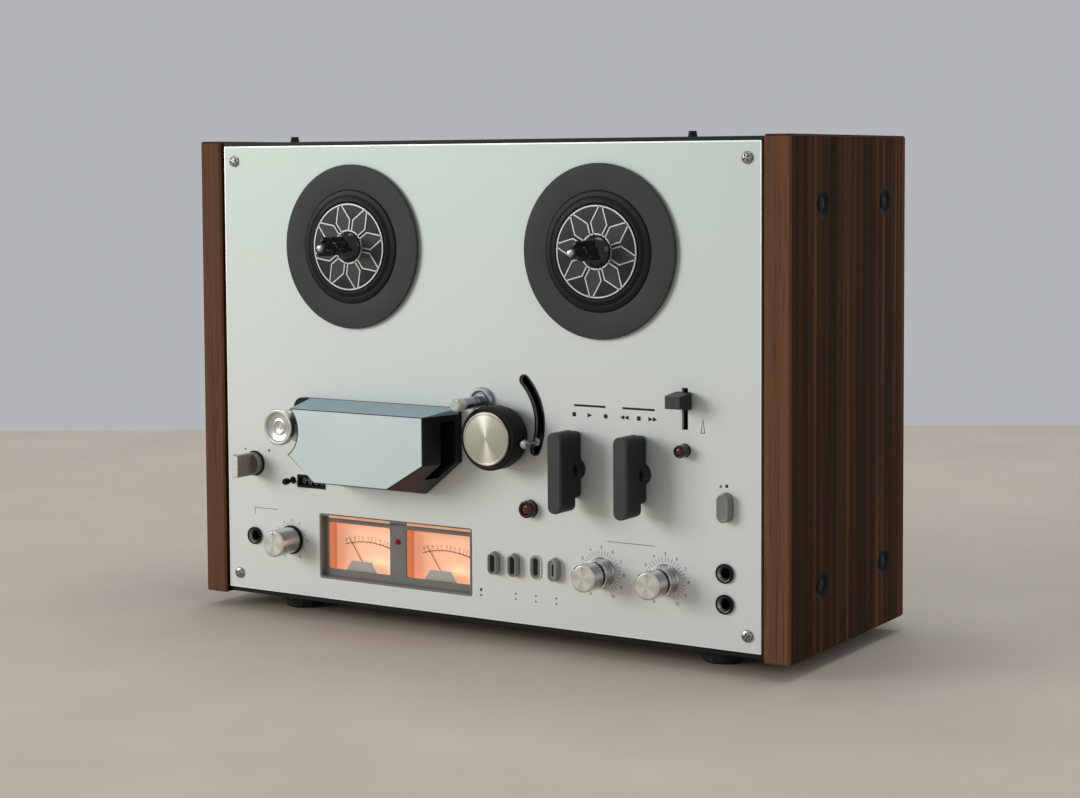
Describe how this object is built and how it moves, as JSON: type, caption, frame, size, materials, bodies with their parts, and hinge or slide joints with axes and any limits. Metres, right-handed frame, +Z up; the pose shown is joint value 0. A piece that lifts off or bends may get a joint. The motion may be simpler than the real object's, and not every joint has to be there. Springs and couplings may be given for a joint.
{
  "type": "reel-to-reel tape deck",
  "caption": "Upright reel-to-reel tape deck in wood sides, with reel tables, head cover, capstan, pinch roller, levers, knobs, level meters and a tape counter",
  "frame": {"origin": "bottom centre of the deck's bounding box, on the surface that its four feet stand on", "axes": "+X to the right as seen from the front, +Y to the back, +Z up; the front panel faces -Y"},
  "size_m": [0.44, 0.232, 0.3175],
  "materials": {
    "wood": "dark wood veneer with a satin lacquer",
    "black_steel": "black painted steel",
    "black_plastic": "black moulded plastic",
    "gloss_plastic": "glossy black plastic",
    "rubber": "black rubber",
    "panel": "satin silver anodised aluminium",
    "platter": "dark grey satin paint",
    "bright": "polished bright metal",
    "steel": "turned and ground steel",
    "paddle": "dark grey satin plastic",
    "grey_key": "grey satin plastic",
    "red_lens": "clear red lens in a black ring",
    "dial": "lit peach dial card in a grey case"
  },
  "bodies": {
    "deck": {"side_panel_left": "wood", "side_panel_right": "wood", "chassis": "black_steel", "top_cover": "black_steel", "back_cover": "black_plastic", "front_panel": "panel", "foot_front_left": "rubber", "foot_front_right": "rubber", "foot_rear_left": "rubber", "foot_rear_right": "rubber", "head_base": "black_steel", "head_erase": "steel", "head_record": "steel", "head_play": "steel", "capstan_bearing": "steel", "phones_jack": "black_plastic", "mic_jack_left": "black_plastic", "mic_jack_right": "black_plastic", "meter_bezel": "black_plastic", "meter_case": "dial", "counter_unit": "black_plastic", "motor": "black_steel", "drive_belt": "rubber"},
    "reel_left": {"reel_platter_left": "platter", "rosette_left": "bright"},
    "pin_left": {"spindle_pin_left": "steel"},
    "cap_left": {"lock_cap_left": "gloss_plastic"},
    "reel_right": {"reel_platter_right": "platter", "rosette_right": "bright"},
    "pin_right": {"spindle_pin_right": "steel"},
    "cap_right": {"lock_cap_right": "gloss_plastic"},
    "roller": {"guide_roller": "bright"},
    "cover": {"head_cover": "black_plastic", "cover_plate": "bright"},
    "capstan": {"capstan_flywheel": "steel"},
    "pinch_swing": {"pinch_arm": "steel"},
    "pinch": {"pinch_roller": "rubber", "pinch_cap": "bright"},
    "tension": {"tension_arm": "steel"},
    "function": {"function_lever": "paddle"},
    "winding": {"winding_lever": "paddle"},
    "pause": {"pause_lever": "paddle"},
    "start": {"start_button": "red_lens"},
    "rec": {"rec_button": "red_lens"},
    "power": {"power_button": "grey_key"},
    "push_1": {"push_button_1": "grey_key"},
    "push_2": {"push_button_2": "grey_key"},
    "push_3": {"push_button_3": "grey_key"},
    "push_4": {"push_button_4": "grey_key"},
    "selector": {"track_selector": "panel"},
    "output": {"output_knob": "panel"},
    "line_outer": {"line_level_outer": "panel"},
    "line_inner": {"line_level_inner": "panel"},
    "mic_outer": {"mic_level_outer": "panel"},
    "mic_inner": {"mic_level_inner": "panel"},
    "needle_left": {"meter_needle_left": "black_plastic"},
    "needle_right": {"meter_needle_right": "black_plastic"},
    "wheels": {"counter_wheels": "black_plastic"},
    "reset": {"counter_reset": "grey_key"},
    "pulley": {"motor_pulley": "steel"}
  },
  "joints": [
    {"name": "reel_left_spin", "type": "hinge", "parent": "deck", "child": "reel_left", "pos_m": [-0.093, -0.0803, 0.2461], "axis": [0, -1, 0], "continuous": true},
    {"name": "pin_left_pull", "type": "slide", "parent": "reel_left", "child": "pin_left", "axis": [0, -1, 0], "range_m": [0, 0.005], "stiffness_N_per_m": 150},
    {"name": "cap_left_turn", "type": "hinge", "parent": "pin_left", "child": "cap_left", "pos_m": [-0.093, -0.1023, 0.2461], "axis": [0, -1, 0], "range_deg": [0, 60]},
    {"name": "reel_right_spin", "type": "hinge", "parent": "deck", "child": "reel_right", "pos_m": [0.093, -0.0803, 0.2461], "axis": [0, -1, 0], "continuous": true},
    {"name": "pin_right_pull", "type": "slide", "parent": "reel_right", "child": "pin_right", "axis": [0, -1, 0], "range_m": [0, 0.005], "stiffness_N_per_m": 150},
    {"name": "cap_right_turn", "type": "hinge", "parent": "pin_right", "child": "cap_right", "pos_m": [0.093, -0.1023, 0.2461], "axis": [0, -1, 0], "range_deg": [0, 60]},
    {"name": "guide_roller_spin", "type": "hinge", "parent": "deck", "child": "roller", "pos_m": [-0.1384, -0.0803, 0.1284], "axis": [0, -1, 0], "continuous": true},
    {"name": "head_cover_pull", "type": "slide", "parent": "deck", "child": "cover", "axis": [0, -1, 0], "range_m": [0, 0.03]},
    {"name": "capstan_spin", "type": "hinge", "parent": "deck", "child": "capstan", "pos_m": [0.007, -0.0803, 0.1513], "axis": [0, -1, 0], "continuous": true},
    {"name": "pulley_spin", "type": "hinge", "parent": "deck", "child": "pulley", "pos_m": [-0.088, -0.0803, 0.1375], "axis": [0, -1, 0], "continuous": true},
    {"name": "pinch_arm_swing", "type": "hinge", "parent": "deck", "child": "pinch_swing", "pos_m": [0.01333, -0.0803, 0.12116], "axis": [0, -1, 0], "range_deg": [0, 12.4]},
    {"name": "pinch_roller_spin", "type": "hinge", "parent": "pinch_swing", "child": "pinch", "pos_m": [0.02465, -0.0903, 0.131], "axis": [0, -1, 0], "continuous": true},
    {"name": "tension_arm_swing", "type": "hinge", "parent": "deck", "child": "tension", "pos_m": [0.0115, -0.0803, 0.139], "axis": [0, -1, 0], "range_deg": [-7, 60]},
    {"name": "function_lever_turn", "type": "hinge", "parent": "deck", "child": "function", "pos_m": [0.0754, -0.0803, 0.1138], "axis": [0, 1, 0], "range_deg": [0, 36]},
    {"name": "winding_lever_turn", "type": "hinge", "parent": "deck", "child": "winding", "pos_m": [0.121, -0.0803, 0.1138], "axis": [0, 1, 0], "range_deg": [-17, 17]},
    {"name": "pause_slide", "type": "slide", "parent": "deck", "child": "pause", "axis": [0, 0, -1], "range_m": [0, 0.012]},
    {"name": "start_press", "type": "slide", "parent": "deck", "child": "start", "axis": [0, 1, 0], "range_m": [0, 0.003], "stiffness_N_per_m": 150},
    {"name": "rec_press", "type": "slide", "parent": "deck", "child": "rec", "axis": [0, 1, 0], "range_m": [0, 0.003], "stiffness_N_per_m": 150},
    {"name": "power_press", "type": "slide", "parent": "deck", "child": "power", "axis": [0, 1, 0], "range_m": [0, 0.003]},
    {"name": "push_1_press", "type": "slide", "parent": "deck", "child": "push_1", "axis": [0, 1, 0], "range_m": [0, 0.004]},
    {"name": "push_2_press", "type": "slide", "parent": "deck", "child": "push_2", "axis": [0, 1, 0], "range_m": [0, 0.004]},
    {"name": "push_4_press", "type": "slide", "parent": "deck", "child": "push_4", "axis": [0, 1, 0], "range_m": [0, 0.004]},
    {"name": "push_3_release", "type": "slide", "parent": "deck", "child": "push_3", "axis": [0, -1, 0], "range_m": [0, 0.004]},
    {"name": "track_selector_turn", "type": "hinge", "parent": "deck", "child": "selector", "pos_m": [-0.1775, -0.0803, 0.0995], "axis": [0, 1, 0], "range_deg": [-45, 45]},
    {"name": "output_turn", "type": "hinge", "parent": "deck", "child": "output", "pos_m": [-0.1465, -0.0803, 0.0505], "axis": [0, 1, 0], "range_deg": [-150, 150]},
    {"name": "line_outer_turn", "type": "hinge", "parent": "deck", "child": "line_outer", "pos_m": [0.0931, -0.0803, 0.0515], "axis": [0, 1, 0], "range_deg": [-150, 150]},
    {"name": "line_inner_turn", "type": "hinge", "parent": "deck", "child": "line_inner", "pos_m": [0.0931, -0.0803, 0.0515], "axis": [0, 1, 0], "range_deg": [-150, 150]},
    {"name": "mic_outer_turn", "type": "hinge", "parent": "deck", "child": "mic_outer", "pos_m": [0.1372, -0.0803, 0.0515], "axis": [0, 1, 0], "range_deg": [-150, 150]},
    {"name": "mic_inner_turn", "type": "hinge", "parent": "deck", "child": "mic_inner", "pos_m": [0.1372, -0.0803, 0.0515], "axis": [0, 1, 0], "range_deg": [-150, 150]},
    {"name": "needle_left_swing", "type": "hinge", "parent": "deck", "child": "needle_left", "pos_m": [-0.094, -0.0703, 0.0322], "axis": [0, 1, 0], "range_deg": [0, 69], "stiffness_Nm_per_rad": 0.0005},
    {"name": "needle_right_swing", "type": "hinge", "parent": "deck", "child": "needle_right", "pos_m": [-0.0309, -0.0703, 0.0322], "axis": [0, 1, 0], "range_deg": [0, 69], "stiffness_Nm_per_rad": 0.0005},
    {"name": "counter_wheels_turn", "type": "hinge", "parent": "deck", "child": "wheels", "pos_m": [-0.1295, -0.0725, 0.0903], "axis": [1, 0, 0], "continuous": true},
    {"name": "counter_reset_press", "type": "slide", "parent": "deck", "child": "reset", "axis": [0, 1, 0], "range_m": [0, 0.002], "stiffness_N_per_m": 150}
  ],
  "couplings": [
    {"joint": "pulley_spin", "follows": "capstan_spin", "ratio": 4.6667},
    {"joint": "counter_wheels_turn", "follows": "reel_left_spin", "ratio": 0.5}
  ]
}
